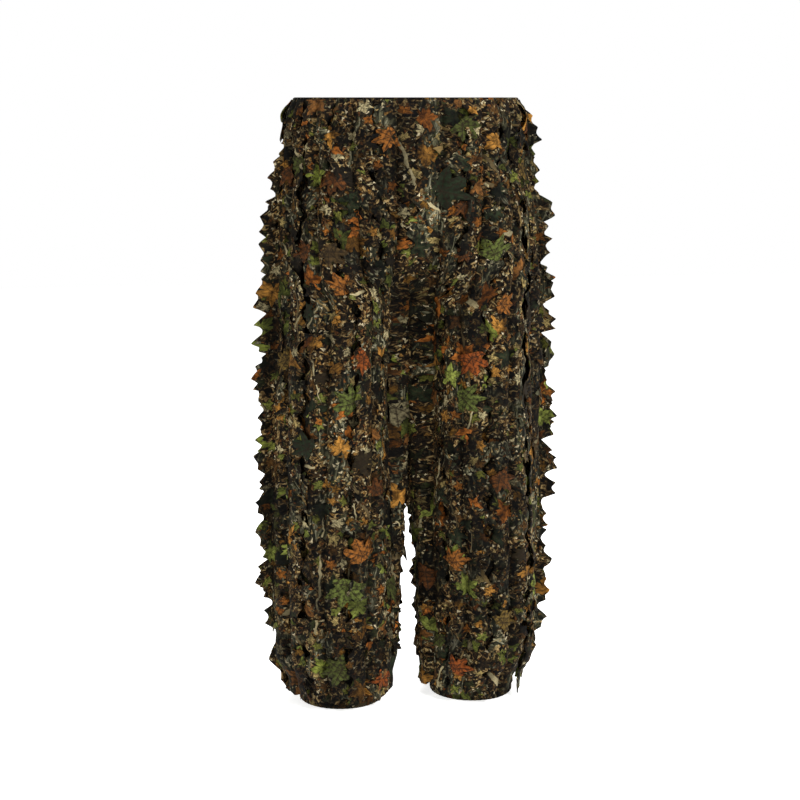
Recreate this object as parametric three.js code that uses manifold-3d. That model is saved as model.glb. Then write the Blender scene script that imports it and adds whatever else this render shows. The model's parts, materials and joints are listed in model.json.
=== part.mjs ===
// Leafy camouflage over-trousers, the lower half of a leaf suit.
// Millimetres, +Z up. The front faces -Y and the wearer's left leg is at +X.
// The origin is the centre of the waist opening, level with its top rim.
import * as THREE from 'three';
import { mergeVertices } from 'three/addons/utils/BufferGeometryUtils.js';
import loadManifold from 'manifold-3d';

const manifold = await loadManifold();
manifold.setup();

// Overall sizes. Every "Down" is measured from the waist rim.
const trouserLength = 1020;
const rise = 325;
const hipDown = 230;
const kneeDown = 620;

// Cloth widths across both legs, without the leaves
const waistWidth = 376;
const hipWidth = 412;
const seatWidth = 422;
const kneeWidth = 434;
const calfWidth = 424;
const cuffWidth = 372;

// Space between the legs
const kneeSpace = 16;
const calfSpace = 40;
const cuffSpace = 88;
const hipCrossing = 50; // how far each hip section would run past the middle

// Depths from the side seams to the front and to the back
const waistFront = 106;
const waistBack = 114;
const hipFront = 119;
const hipBack = 134;
const seatFront = 124;
const seatBack = 136;
const kneeFront = 108;
const kneeBack = 108;
const calfFront = 98;
const calfBack = 102;
const cuffFront = 72;
const cuffBack = 74;

// Cloth and seams
const clothThickness = 2;
const seamGap = 0.3;
const panelColumns = 8;

// Waistband and cuffs: a folded channel with an elastic inside
const waistbandHeight = 38;
const cuffHeight = 26;
const gatherHeight = 58; // cloth drawn in above each cuff
const channelDepth = 6.4;
const channelWall = 1.6;
const elasticClearance = 0.4;
const elasticThickness = channelDepth - 2 * (channelWall + elasticClearance);
const waistbandSegments = 4 * panelColumns;
const cuffSegments = 20;

// Leaf strips, sewn down the middle with both edges free
const stripsPerPanel = 4;
const stripThickness = 1.5;
const stripClearance = 0.9;
const stripStart = 6; // below the waist rim
const stripEnd = 38; // above the hem
const stripEdgeGap = 0.03; // in panel columns
const innerStripReach = 0.89; // where the innermost strip ends, as a share of the panel
const toothPitch = 66;
const sideTipReach = 36;
const sideNotchReach = 14;
const faceTipReach = 13;
const faceNotchReach = 7;

// Fly zip
const zipClearance = 0.4;
const flyLength = 150;
const flySideSpace = 2.5; // between the slider and each edge of the fly
const sliderWidth = 9;
const sliderLength = 11;
const sliderPlate = 1.2;
const sliderPost = 1;
const sliderPostLength = 4;
const flyOpening = sliderWidth + 2 * flySideSpace;
const tapeWidth = 15;
const tapeThickness = 0.8;
const coilWidth = 2.4;
const coilHeight = 2;
const coilSpace = sliderPost + 2 * zipClearance;
const stopLength = 3;
const pullLength = 27;
const pullWidth = 7.4;
const pullThickness = 1.2;
const pullPlay = 1.3; // between the pull's window and the crown
const pullBarTurn = pullThickness * Math.SQRT2; // what the square bar sweeps as it turns
const crownClearance = 0.3;
const crownWall = 1.1;
const crownWidth = 1.8;
const crownRoot = 0.2; // how deep its legs are set in the front plate
const crownHeight = crownWall + pullBarTurn + 2 * crownClearance;
const crownLength = 2 * (crownWall + pullPlay) + pullBarTurn;
const pullWindowWidth = crownWidth + 2 * pullPlay;
const pullWindowLength = crownLength / 2 + pullPlay;
const shieldOverlap = 12;
const shieldHem = 6; // sewn down beyond the tape
const shieldHemSpace = 3;
const shieldThickness = 1.4;
const labelWidth = 30;
const labelLength = 44;
const labelThickness = 0.5;
const labelLap = 8; // how much of the label lies on the waistband

const halfGap = seamGap / 2;
const panelTop = waistbandHeight + seamGap;
const panelBottom = trouserLength - cuffHeight - seamGap;
const gatherDown = trouserLength - cuffHeight - gatherHeight;
const flyBottom = panelTop + flyLength;

const mix = (from, to, share) => from + (to - from) * share;
const clamp = THREE.MathUtils.clamp;

// Each station gives one leg's section: where its outer and inner edges are, and its two depths.
// A negative inner edge runs past the middle, where the two halves are sewn together.
const waist = { outer: waistWidth / 2, inner: -waistWidth / 2, front: waistFront, back: waistBack };
const cuff = { outer: cuffWidth / 2, inner: cuffSpace / 2, front: cuffFront, back: cuffBack };
const stations = [
  { down: 0, ...waist },
  { down: waistbandHeight, ...waist },
  { down: hipDown, outer: hipWidth / 2, inner: -hipCrossing, front: hipFront, back: hipBack },
  { down: rise, outer: seatWidth / 2, inner: 0, front: seatFront, back: seatBack },
  { down: kneeDown, outer: kneeWidth / 2, inner: kneeSpace / 2, front: kneeFront, back: kneeBack },
  { down: gatherDown, outer: calfWidth / 2, inner: calfSpace / 2, front: calfFront, back: calfBack },
  { down: trouserLength - cuffHeight, ...cuff },
  { down: trouserLength, ...cuff },
];

function slopeAt(key, i) {
  if (i === 0 || i === stations.length - 1) return 0;
  const [last, here, next] = [stations[i - 1], stations[i], stations[i + 1]];
  const before = (here[key] - last[key]) / (here.down - last.down);
  const after = (next[key] - here[key]) / (next.down - here.down);
  return before * after <= 0 ? 0 : (2 * before * after) / (before + after);
}

// A smooth curve through the stations that never overshoots them
function valueAt(key, down) {
  const last = stations.length - 2;
  const i = clamp(stations.filter((station) => station.down <= down).length - 1, 0, last);
  const span = stations[i + 1].down - stations[i].down;
  const t = clamp((down - stations[i].down) / span, 0, 1);
  const lead = (1 + 2 * t) * (1 - t) ** 2 * stations[i][key] + t * (1 - t) ** 2 * span * slopeAt(key, i);
  const trail = t * t * (3 - 2 * t) * stations[i + 1][key] - t * t * (1 - t) * span * slopeAt(key, i + 1);
  return lead + trail;
}

function sectionAt(face, down) {
  const outer = valueAt('outer', down);
  const inner = valueAt('inner', down);
  return { centre: (outer + inner) / 2, width: (outer - inner) / 2, depth: valueAt(face, down) };
}

// The four quarters of the garment: which way is out, and which depth they use
const quarters = [
  { name: 'front_left', x: 1, y: -1, face: 'front' },
  { name: 'front_right', x: -1, y: -1, face: 'front' },
  { name: 'back_left', x: 1, y: 1, face: 'back' },
  { name: 'back_right', x: -1, y: 1, face: 'back' },
];

function steps(from, to, count) {
  return Array.from({ length: count + 1 }, (_, i) => mix(from, to, i / count));
}

const flyEdgeStep = 1;
const levels = [
  ...steps(panelTop, flyBottom, 3),
  flyBottom + flyEdgeStep,
  ...steps(hipDown, rise, 5),
  ...steps(mix(rise, kneeDown, 0.08), kneeDown, 3),
  ...steps(kneeDown, gatherDown, 3).slice(1),
  ...steps(gatherDown, panelBottom, 3).slice(1),
];

// The panel's inner edge: at the middle above the crotch, drawn back beside the zip
function middleEdge(quarter, down, across) {
  const besideZip = quarter.face === 'front' && across === 1 && down <= flyBottom;
  return besideZip ? flyOpening / 2 : halfGap;
}

// The angle round a section, from the outseam at 0 to the inner edge at 1
function angleAt(quarter, down, across, inset) {
  const { centre, width, depth } = sectionAt(quarter.face, down);
  const start = Math.asin(halfGap / (depth - inset));
  const cosine = clamp((middleEdge(quarter, down, across) - centre) / (width - inset), -1, 1);
  return mix(start, Math.min(Math.acos(cosine), Math.PI - start), across);
}

function panelPoint(quarter, down, across, inset) {
  const { centre, width, depth } = sectionAt(quarter.face, down);
  const angle = angleAt(quarter, down, across, inset);
  const x = centre + (width - inset) * Math.cos(angle);
  const y = (depth - inset) * Math.sin(angle);
  return new THREE.Vector3(quarter.x * x, quarter.y * y, -down);
}

// The same place on the panel's flat facets, which is what other pieces lie on
function facetPoint(quarter, down, across, inset) {
  const row = clamp(levels.filter((level) => level <= down).length - 1, 0, levels.length - 2);
  const column = Math.min(Math.floor(across * panelColumns), panelColumns - 1);
  const rowShare = (down - levels[row]) / (levels[row + 1] - levels[row]);
  const columnShare = across * panelColumns - column;
  const corner = (i, j) => panelPoint(quarter, levels[row + i], (column + j) / panelColumns, inset);
  const upper = corner(0, 0).lerp(corner(0, 1), columnShare);
  return upper.lerp(corner(1, 0).lerp(corner(1, 1), columnShare), rowShare);
}

function outwardAt(quarter, down, across) {
  const { width, depth } = sectionAt(quarter.face, down);
  const angle = angleAt(quarter, down, across, 0);
  const out = new THREE.Vector3(Math.cos(angle) / width, Math.sin(angle) / depth, 0).normalize();
  return out.multiply(new THREE.Vector3(quarter.x, quarter.y, 1));
}

// A mirrored or turned grid can come out with its faces inwards, which this puts right
function facingOut(geometry) {
  geometry.deleteAttribute('normal');
  geometry.deleteAttribute('uv');
  const merged = mergeVertices(geometry, 1e-4);
  const place = merged.attributes.position;
  const index = merged.index.array;
  const corner = (i) => new THREE.Vector3().fromBufferAttribute(place, index[i]);
  let volume = 0;
  for (let i = 0; i < index.length; i += 3) {
    volume += corner(i).dot(corner(i + 1).cross(corner(i + 2)));
  }
  if (volume < 0) index.reverse();
  merged.computeVertexNormals();
  return merged;
}

// A box splits its far face along the other diagonals. A strip has few columns, so both its faces
// take the same ones and it keeps its thickness all over.
const innerFaceGroup = 5;

function matchDiagonals(geometry) {
  const { start, count } = geometry.groups[innerFaceGroup];
  const index = geometry.index.array;
  for (let i = start; i < start + count; i += 6) {
    const [a, b, d, , c] = index.subarray(i, i + 6);
    index.set([a, b, c, a, c, d], i);
  }
}

// A thin closed sheet. place(column, row, outside) gives each point of its two faces.
function bentSheet(columns, rows, place, sameDiagonals = false) {
  const across = columns.length - 1;
  const along = rows.length - 1;
  const geometry = new THREE.BoxGeometry(1, 1, 1, across, along, 1);
  if (sameDiagonals) matchDiagonals(geometry);
  const spots = geometry.attributes.position;
  for (let i = 0; i < spots.count; i++) {
    const column = columns[Math.round((spots.getX(i) + 0.5) * across)];
    const row = rows[Math.round((spots.getY(i) + 0.5) * along)];
    spots.setXYZ(i, ...place(column, row, spots.getZ(i) > 0).toArray());
  }
  return facingOut(geometry);
}

// A band of constant section round the waist or an ankle. Its profile is a list of [inset, height].
function hoop(profile, segments, { centre, width, front, back }) {
  const drawnRadius = 100;
  const outline = [...profile, profile[0]].map(([inset, z]) => new THREE.Vector2(drawnRadius - inset, z));
  const geometry = new THREE.LatheGeometry(outline, segments);
  const spots = geometry.attributes.position;
  for (let i = 0; i < spots.count; i++) {
    const inset = drawnRadius - Math.hypot(spots.getX(i), spots.getZ(i));
    const angle = Math.atan2(spots.getX(i), spots.getZ(i));
    const depth = Math.sin(angle) < 0 ? front : back;
    const x = centre + (width - inset) * Math.cos(angle);
    spots.setXYZ(i, x, (depth - inset) * Math.sin(angle), spots.getY(i));
  }
  return facingOut(geometry);
}

// A folded channel, closed at the rim and open at the other end, and the elastic that runs in it
function channelProfile(rimZ, openZ) {
  const floorZ = rimZ + Math.sign(openZ - rimZ) * channelWall;
  const farWall = channelDepth - channelWall;
  return [
    [0, openZ], [0, rimZ], [channelDepth, rimZ], [channelDepth, openZ],
    [farWall, openZ], [farWall, floorZ], [channelWall, floorZ], [channelWall, openZ],
  ];
}

function elasticProfile(rimZ, openZ) {
  const inward = Math.sign(openZ - rimZ);
  const near = rimZ + inward * (channelWall + elasticClearance);
  const far = openZ - inward * channelWall;
  const start = channelWall + elasticClearance;
  return [[start, far], [start, near], [start + elasticThickness, near], [start + elasticThickness, far]];
}

function box(width, depth, height, x, y, z) {
  return new THREE.BoxGeometry(width, depth, height).translate(x, y, z);
}

function solidOf(geometry) {
  const { attributes, index } = facingOut(geometry);
  const vertProperties = new Float32Array(attributes.position.array);
  const triVerts = new Uint32Array(index.array);
  return new manifold.Manifold(new manifold.Mesh({ numProp: 3, vertProperties, triVerts }));
}

function geometryOf(solid) {
  const { vertProperties, triVerts } = solid.getMesh();
  const geometry = new THREE.BufferGeometry();
  geometry.setAttribute('position', new THREE.BufferAttribute(vertProperties, 3));
  geometry.setIndex(new THREE.BufferAttribute(triVerts, 1));
  geometry.computeVertexNormals();
  return geometry;
}

const material = {
  baseCloth: { color: 0x3a3226, roughness: 0.95, metalness: 0 },
  leafCloth: { color: 0x5a4c33, roughness: 0.9, metalness: 0 },
  elastic: { color: 0x24221d, roughness: 0.8, metalness: 0 },
  zipTape: { color: 0x26241c, roughness: 0.9, metalness: 0 },
  zipCoil: { color: 0x1b1a17, roughness: 0.45, metalness: 0 },
  zipMetal: { color: 0x35332e, roughness: 0.4, metalness: 0.8 },
  label: { color: 0x8b8672, roughness: 0.7, metalness: 0 },
};

const trousers = new THREE.Group();

function addPiece(name, geometry, finish) {
  const mesh = new THREE.Mesh(geometry, new THREE.MeshStandardMaterial(material[finish]));
  mesh.name = name;
  trousers.add(mesh);
  return mesh;
}

// Cloth panels: front and back of each leg, carried up to the waistband
const panelShares = steps(0, 1, panelColumns);
for (const quarter of quarters) {
  const place = (across, down, outside) =>
    panelPoint(quarter, down, across, outside ? 0 : clothThickness);
  addPiece(`${quarter.name}_panel`, bentSheet(panelShares, levels, place), 'baseCloth');
}

// Leaf strips. Strip 1 is at the outseam, and its free outer edge makes the leafy outline.
// They lie on the panels, run up over the waistband, and hang straight down over the gathered ankles.
const stripBottom = trouserLength - stripEnd;
const faceLevels = levels.filter((level) => level <= gatherDown && level !== flyBottom + flyEdgeStep);
const faceRows = [stripStart, ...faceLevels, mix(gatherDown, stripBottom, 0.5), stripBottom];
const toothRows = faceRows.slice(1).flatMap((down, i) => {
  const halfTeeth = Math.max(1, Math.round((2 * (down - faceRows[i])) / toothPitch));
  return steps(faceRows[i], down, halfTeeth).slice(i ? 1 : 0);
});

function stripRows(downs, tip, notch) {
  return downs.map((down, i) => ({ down, reach: i % 2 ? tip : notch }));
}

function stripColumns(index) {
  const halfStrip = panelColumns / stripsPerPanel / 2;
  const middle = (2 * index + 1) * halfStrip;
  const last = index === stripsPerPanel - 1;
  const innerEdge = last ? innerStripReach * panelColumns : middle + halfStrip - stripEdgeGap;
  return [
    { across: middle - halfStrip + stripEdgeGap, lift: 1 },
    { across: middle - halfStrip / 2, lift: 0 },
    { across: middle, lift: 0 },
    { across: mix(middle, innerEdge, 0.5), lift: 0 },
    { across: innerEdge, lift: last ? 0 : 1 },
  ];
}

const sideEdgeShare = 1 / (2 * stripsPerPanel); // the middle of the strip beside the outseam

function leafStrip(quarter, index) {
  const side = index === 0;
  const rows = side
    ? stripRows(toothRows, sideTipReach, sideNotchReach)
    : stripRows(faceRows, faceTipReach, faceNotchReach);
  const place = ({ across, lift }, { down, reach }, outside) => {
    const share = across / panelColumns;
    const freeReach = side && share > sideEdgeShare ? Math.min(reach, faceTipReach) : reach;
    const height = stripClearance + lift * freeReach + (outside ? stripThickness : 0);
    const backed = clamp(down, panelTop, gatherDown);
    const away = outwardAt(quarter, backed, share).multiplyScalar(height);
    return facetPoint(quarter, backed, share, 0).add(away).setZ(-down);
  };
  return bentSheet(stripColumns(index), rows, place, true);
}

for (const quarter of quarters) {
  for (let index = 0; index < stripsPerPanel; index++) {
    addPiece(`leaf_strip_${quarter.name}_${index + 1}`, leafStrip(quarter, index), 'leafCloth');
  }
}

// Waistband
const waistHoop = { centre: 0, width: waistWidth / 2, front: waistFront, back: waistBack };
const waistbandShape = hoop(channelProfile(0, -waistbandHeight), waistbandSegments, waistHoop);
addPiece('waistband_casing', waistbandShape, 'baseCloth');
const waistElasticShape = hoop(elasticProfile(0, -waistbandHeight), waistbandSegments, waistHoop);
addPiece('waist_elastic', waistElasticShape, 'elastic');

// Ankle cuffs
const hemZ = -trouserLength;
for (const [leg, sign] of [['left', 1], ['right', -1]]) {
  const { centre, width } = sectionAt('front', trouserLength);
  const ankleHoop = { centre: sign * centre, width, front: cuffFront, back: cuffBack };
  const casing = hoop(channelProfile(hemZ, hemZ + cuffHeight), cuffSegments, ankleHoop);
  addPiece(`cuff_casing_${leg}`, casing, 'baseCloth');
  const elastic = hoop(elasticProfile(hemZ, hemZ + cuffHeight), cuffSegments, ankleHoop);
  addPiece(`cuff_elastic_${leg}`, elastic, 'elastic');
}

// Fly zip. It runs straight down the middle, just behind the front panels.
function innerDepthAt(down) {
  const { centre, width, depth } = sectionAt('front', down);
  const across = (flyOpening / 2 - centre) / (width - clothThickness);
  return (depth - clothThickness) * Math.sqrt(1 - across * across);
}

const tapeFrontY = zipClearance - Math.min(...steps(panelTop, flyBottom, 12).map(innerDepthAt));
const tapeBackY = tapeFrontY + tapeThickness;
const zipTop = panelTop + 2;
const zipBottom = flyBottom - 2;
const coilTop = zipTop + stopLength + seamGap;
const coilBottom = zipBottom - stopLength - seamGap;
const coilInner = coilSpace / 2;
const coilMiddle = coilInner + coilWidth / 2;
const frontQuarter = { left: quarters[0], right: quarters[1] };

// The panel's inner face near the middle, which the tape's sewn edge and the shield lie against
function innerFaceY(quarter, x, down) {
  const innerEdge = facetPoint(quarter, down, 1, clothThickness);
  const next = facetPoint(quarter, down, 1 - 1 / panelColumns, clothThickness);
  const share = (Math.abs(x) - Math.abs(innerEdge.x)) / Math.abs(next.x - innerEdge.x);
  return mix(innerEdge.y, next.y, share);
}

const tapeLevels = steps(zipTop, zipBottom, 6);
for (const [side, sign] of [['left', 1], ['right', -1]]) {
  const quarter = frontQuarter[side];
  const tapeColumns = [coilInner, flyOpening / 2, tapeWidth];
  const tape = bentSheet(tapeColumns, tapeLevels, (x, down, outside) => {
    const sewnY = innerFaceY(quarter, x, down) + zipClearance;
    const faceY = x > flyOpening / 2 ? sewnY : tapeFrontY;
    return new THREE.Vector3(sign * x, outside ? faceY : faceY + tapeThickness, -down);
  });
  addPiece(`zip_tape_${side}`, tape, 'zipTape');

  const coilY = tapeFrontY - seamGap - coilHeight / 2;
  const coilLength = coilBottom - coilTop;
  const coilZ = -(coilTop + coilBottom) / 2;
  const coil = box(coilWidth, coilHeight, coilLength, sign * coilMiddle, coilY, coilZ);
  addPiece(`zip_coil_${side}`, facingOut(coil), 'zipCoil');

  const topStopZ = -(zipTop + stopLength / 2);
  const topStop = box(coilWidth, coilHeight, stopLength, sign * coilMiddle, coilY, topStopZ);
  addPiece(`zip_top_stop_${side}`, facingOut(topStop), 'zipMetal');
}

const coilFrontY = tapeFrontY - seamGap - coilHeight;
const bottomStopWidth = coilSpace + 2 * coilWidth;
const bottomStopZ = -(zipBottom - stopLength / 2);
const bottomStopY = tapeFrontY - seamGap - coilHeight / 2;
const bottomStop = box(bottomStopWidth, coilHeight, stopLength, 0, bottomStopY, bottomStopZ);
addPiece('zip_bottom_stop', facingOut(bottomStop), 'zipMetal');

// Slider: a plate on each side of the chain, a post between the coils, and a crown that holds the pull
const plateFrontY = coilFrontY - zipClearance - sliderPlate;
const plateBackY = tapeBackY + zipClearance + sliderPlate;
const sliderTopZ = -(coilTop + zipClearance);
const sliderZ = sliderTopZ - sliderLength / 2;
const postDepth = plateBackY - plateFrontY;

function sliderGeometry() {
  const middleY = (plateFrontY + plateBackY) / 2;
  const legZ = crownLength / 2 - crownWall / 2;
  const crownY = plateFrontY - crownHeight / 2;
  const postZ = sliderTopZ - sliderPostLength / 2;
  const bridgeY = plateFrontY - crownHeight + crownWall / 2;
  const solids = [
    box(sliderWidth, sliderPlate, sliderLength, 0, plateFrontY + sliderPlate / 2, sliderZ),
    box(sliderWidth, sliderPlate, sliderLength, 0, plateBackY - sliderPlate / 2, sliderZ),
    box(sliderPost, postDepth - sliderPlate, sliderPostLength, 0, middleY, postZ),
    box(crownWidth, crownHeight + crownRoot, crownWall, 0, crownY + crownRoot / 2, sliderZ + legZ),
    box(crownWidth, crownHeight + crownRoot, crownWall, 0, crownY + crownRoot / 2, sliderZ - legZ),
    box(crownWidth, crownWall, crownLength, 0, bridgeY, sliderZ),
  ].map(solidOf);
  return geometryOf(solids.reduce((whole, next) => whole.add(next)));
}

addPiece('zip_slider', sliderGeometry(), 'zipMetal');

// Pull: a tapered tab whose top bar passes under the crown. It is drawn hanging, about its hinge.
const pullHingeY = plateFrontY - (crownHeight - crownWall) / 2;

function pullGeometry() {
  const barTop = pullThickness / 2;
  const tab = new THREE.Shape();
  tab.moveTo(-pullWidth / 2, barTop);
  tab.lineTo(-pullWidth / 2, barTop - pullLength * 0.6);
  tab.lineTo(-pullWidth / 3, barTop - pullLength);
  tab.lineTo(pullWidth / 3, barTop - pullLength);
  tab.lineTo(pullWidth / 2, barTop - pullLength * 0.6);
  tab.lineTo(pullWidth / 2, barTop);
  tab.closePath();
  const window = new THREE.Path();
  window.moveTo(-pullWindowWidth / 2, -barTop);
  window.lineTo(pullWindowWidth / 2, -barTop);
  window.lineTo(pullWindowWidth / 2, -barTop - pullWindowLength);
  window.lineTo(-pullWindowWidth / 2, -barTop - pullWindowLength);
  window.closePath();
  tab.holes.push(window);
  const geometry = new THREE.ExtrudeGeometry(tab, { depth: pullThickness, bevelEnabled: false });
  geometry.translate(0, 0, -pullThickness / 2).rotateX(Math.PI / 2);
  return facingOut(geometry);
}

const pull = addPiece('zip_pull', pullGeometry(), 'zipMetal');
pull.position.set(0, pullHingeY, sliderZ);

// Fly shield: a guard strip behind the zip, sewn to the left panel beside the tape
const shieldY = plateBackY + zipClearance;
const shieldSeam = tapeWidth + shieldHemSpace;
const shieldColumns = [-shieldOverlap, sliderWidth, shieldSeam, shieldSeam + shieldHem];
const shield = bentSheet(shieldColumns, tapeLevels, (x, down, outside) => {
  const sewnY = innerFaceY(frontQuarter.left, x, down) + zipClearance;
  const faceY = x >= shieldSeam ? sewnY : shieldY;
  return new THREE.Vector3(x, outside ? faceY : faceY + shieldThickness, -down);
});
addPiece('fly_shield', shield, 'baseCloth');

// Blank care label, sewn to the inside of the waistband at the back
const facetTurn = (2 * Math.PI) / waistbandSegments;
const labelDepth = waistBack - channelDepth;
const facetFall = (labelDepth * (1 - Math.cos(facetTurn))) / Math.sin(facetTurn);
const labelFall = (facetFall * labelWidth) / 2 / (waistWidth / 2 - channelDepth);
const labelY = labelDepth - labelFall - elasticClearance - labelThickness / 2;
const labelZ = -waistbandHeight + labelLap - labelLength / 2;
addPiece('care_label', facingOut(box(labelWidth, labelThickness, labelLength, 0, labelY, labelZ)), 'label');

export default trousers;
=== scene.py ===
import json
import math
import random

import bpy
import numpy as np
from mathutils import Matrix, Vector, noise

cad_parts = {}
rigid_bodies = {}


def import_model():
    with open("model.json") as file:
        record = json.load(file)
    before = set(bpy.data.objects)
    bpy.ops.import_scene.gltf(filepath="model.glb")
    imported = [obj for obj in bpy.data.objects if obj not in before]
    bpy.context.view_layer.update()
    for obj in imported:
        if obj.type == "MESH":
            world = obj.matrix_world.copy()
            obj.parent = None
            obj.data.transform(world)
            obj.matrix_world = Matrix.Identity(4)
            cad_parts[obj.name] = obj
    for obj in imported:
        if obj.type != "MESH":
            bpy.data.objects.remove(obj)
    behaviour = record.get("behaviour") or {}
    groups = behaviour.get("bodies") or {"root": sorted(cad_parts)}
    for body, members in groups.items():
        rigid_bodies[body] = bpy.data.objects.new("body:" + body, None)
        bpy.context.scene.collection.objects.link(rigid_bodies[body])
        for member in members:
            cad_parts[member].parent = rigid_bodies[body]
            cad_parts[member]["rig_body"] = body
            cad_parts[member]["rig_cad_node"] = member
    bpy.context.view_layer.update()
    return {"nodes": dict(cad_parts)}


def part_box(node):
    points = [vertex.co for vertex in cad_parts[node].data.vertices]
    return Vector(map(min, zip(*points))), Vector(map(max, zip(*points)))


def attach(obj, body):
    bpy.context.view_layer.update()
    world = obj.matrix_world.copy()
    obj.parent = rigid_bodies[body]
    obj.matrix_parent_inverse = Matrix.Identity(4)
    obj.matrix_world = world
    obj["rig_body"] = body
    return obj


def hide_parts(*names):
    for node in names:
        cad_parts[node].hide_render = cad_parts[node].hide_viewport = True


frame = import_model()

scene = bpy.context.scene

# Camera, floor and light
studio = {
    "azimuth": -11.0, "elevation": 9.5, "distance": 3.05, "focal": 81.0, "sensor": 36.0,
    "target": (-0.011, 0.0, -0.505), "floorHeight": -1.0215, "floorSize": 14.0,
    "floorColor": (0.93, 0.93, 0.92), "floorRoughness": 0.9, "floorGlow": 0.8,
    "worldColor": (1.0, 1.0, 1.0), "worldStrength": 0.34, "backdropStrength": 1.0,
    "lightsAimAt": (0.0, 0.0, -0.5),
}
# The power, disk size and place of each light
lights = {
    "topLight": (100.0, 2.4, (0.0, -0.3, 3.2)),
    "keyLight": (78.0, 1.2, (1.5, -2.3, 1.3)),
    "fillLight": (20.0, 2.0, (-2.4, -1.8, 0.2)),
    "rimLight": (30.0, 1.6, (0.4, 2.4, 1.4)),
}


def placeCamera():
    a, e = math.radians(studio["azimuth"]), math.radians(studio["elevation"])
    back = Vector((math.sin(a) * math.cos(e), -math.cos(a) * math.cos(e), math.sin(e)))
    data = bpy.data.cameras.new("studioCamera")
    data.lens = studio["focal"]
    data.sensor_width = studio["sensor"]
    camera = bpy.data.objects.new("studioCamera", data)
    scene.collection.objects.link(camera)
    camera.location = Vector(studio["target"]) + back * studio["distance"]
    camera.rotation_euler = back.to_track_quat("Z", "Y").to_euler()
    scene.camera = camera


def addLight(name, power, size, place):
    data = bpy.data.lights.new(name, "AREA")
    data.energy = power
    data.shape = "DISK"
    data.size = size
    light = bpy.data.objects.new(name, data)
    scene.collection.objects.link(light)
    light.location = place
    aim = Vector(place) - Vector(studio["lightsAimAt"])
    light.rotation_euler = aim.to_track_quat("Z", "Y").to_euler()


def buildStudio():
    bpy.ops.object.select_all(action="DESELECT")
    size = studio["floorSize"]
    bpy.ops.mesh.primitive_plane_add(size=size, location=(0, 0, studio["floorHeight"]))
    floor = bpy.context.object
    floor.name = "studioFloor"
    finish = bpy.data.materials.new("paleFloor")
    finish.use_nodes = True
    shader = finish.node_tree.nodes["Principled BSDF"]
    shader.inputs["Base Color"].default_value = (*studio["floorColor"], 1)
    shader.inputs["Roughness"].default_value = studio["floorRoughness"]
    shader.inputs["Emission Color"].default_value = (*studio["floorColor"], 1)
    shader.inputs["Emission Strength"].default_value = studio["floorGlow"]
    floor.data.materials.append(finish)
    world = bpy.data.worlds.new("softWhite")
    world.use_nodes = True
    tree = world.node_tree
    sky = tree.nodes["Background"]
    sky.inputs["Color"].default_value = (*studio["worldColor"], 1)
    # The camera sees a brighter backdrop than the one that lights the cloth
    seen = tree.nodes.new("ShaderNodeLightPath").outputs["Is Camera Ray"]
    strength = tree.nodes.new("ShaderNodeMapRange")
    strength.inputs["To Min"].default_value = studio["worldStrength"]
    strength.inputs["To Max"].default_value = studio["backdropStrength"]
    tree.links.new(seen, strength.inputs["Value"])
    tree.links.new(strength.outputs[0], sky.inputs["Strength"])
    scene.world = world
    scene.view_settings.view_transform = "Standard"
    for name, (power, size, place) in lights.items():
        addLight(name, power, size, place)


placeCamera()
buildStudio()
print("studio ready")

# The leg's section at each height below the waist rim, in metres. A negative inner edge runs past the middle.
legShape = {
    "down": (0.0, 0.038, 0.23, 0.325, 0.62, 0.78, 0.936, 0.994, 1.02),
    "outer": (0.188, 0.188, 0.206, 0.211, 0.217, 0.216, 0.21, 0.186, 0.186),
    "inner": (-0.188, -0.188, -0.05, 0.0, 0.01, 0.026, 0.032, 0.044, 0.044),
    "front": (0.106, 0.106, 0.119, 0.124, 0.108, 0.103, 0.098, 0.072, 0.072),
    "back": (0.114, 0.114, 0.134, 0.136, 0.108, 0.105, 0.102, 0.074, 0.074),
}
rise = 0.325
gatherDown = 0.936
quarters = {
    "front_left": (1, -1, "front"), "front_right": (-1, -1, "front"),
    "back_left": (1, 1, "back"), "back_right": (-1, 1, "back"),
}
# What is left free at the middle line, in metres, and at the outseam, in radians
middleGap = 0.00015
outseamGap = 0.0015
arcPoints = 25


# A smooth curve through the levels that never overshoots them
def valueAt(key, down):
    downs, values = np.array(legShape["down"]), np.array(legShape[key])
    secant = np.diff(values) / np.diff(downs)
    slope = np.zeros(len(values))
    before, after = secant[:-1], secant[1:]
    same = before * after > 0
    slope[1:-1][same] = 2 * before[same] * after[same] / (before[same] + after[same])
    i = np.clip(np.searchsorted(downs, down, side="right") - 1, 0, len(downs) - 2)
    span = downs[i + 1] - downs[i]
    t = np.clip((down - downs[i]) / span, 0, 1)
    lead = (1 + 2 * t) * (1 - t) ** 2 * values[i] + t * (1 - t) ** 2 * span * slope[i]
    return lead + t * t * (3 - 2 * t) * values[i + 1] - t * t * (1 - t) * span * slope[i + 1]


def smoothStep(low, high, value):
    t = np.clip((value - low) / (high - low), 0, 1)
    return t * t * (3 - 2 * t)


def sectionAt(face, down):
    outer, inner = valueAt("outer", down), valueAt("inner", down)
    return (outer + inner) / 2, (outer - inner) / 2, valueAt(face, down)


def endAngle(face, down, edge=middleGap):
    centre, width, _ = sectionAt(face, down)
    return np.minimum(np.arccos(np.clip((edge - centre) / width, -1, 1)), math.pi - outseamGap)


# across runs from the outseam at 0 to the middle line or inseam at 1
def surfaceAt(quarter, down, across, edge=middleGap):
    x, y, face = quarters[quarter]
    centre, width, depth = sectionAt(face, down)
    angle = outseamGap + (endAngle(face, down, edge) - outseamGap) * across
    flat = 0 * angle
    point = np.stack([x * (centre + width * np.cos(angle)), y * depth * np.sin(angle), -down + flat], -1)
    out = np.stack([x * np.cos(angle) / width, y * np.sin(angle) / depth, flat], -1)
    out /= np.linalg.norm(out, axis=-1, keepdims=True)
    return point, out


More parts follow.
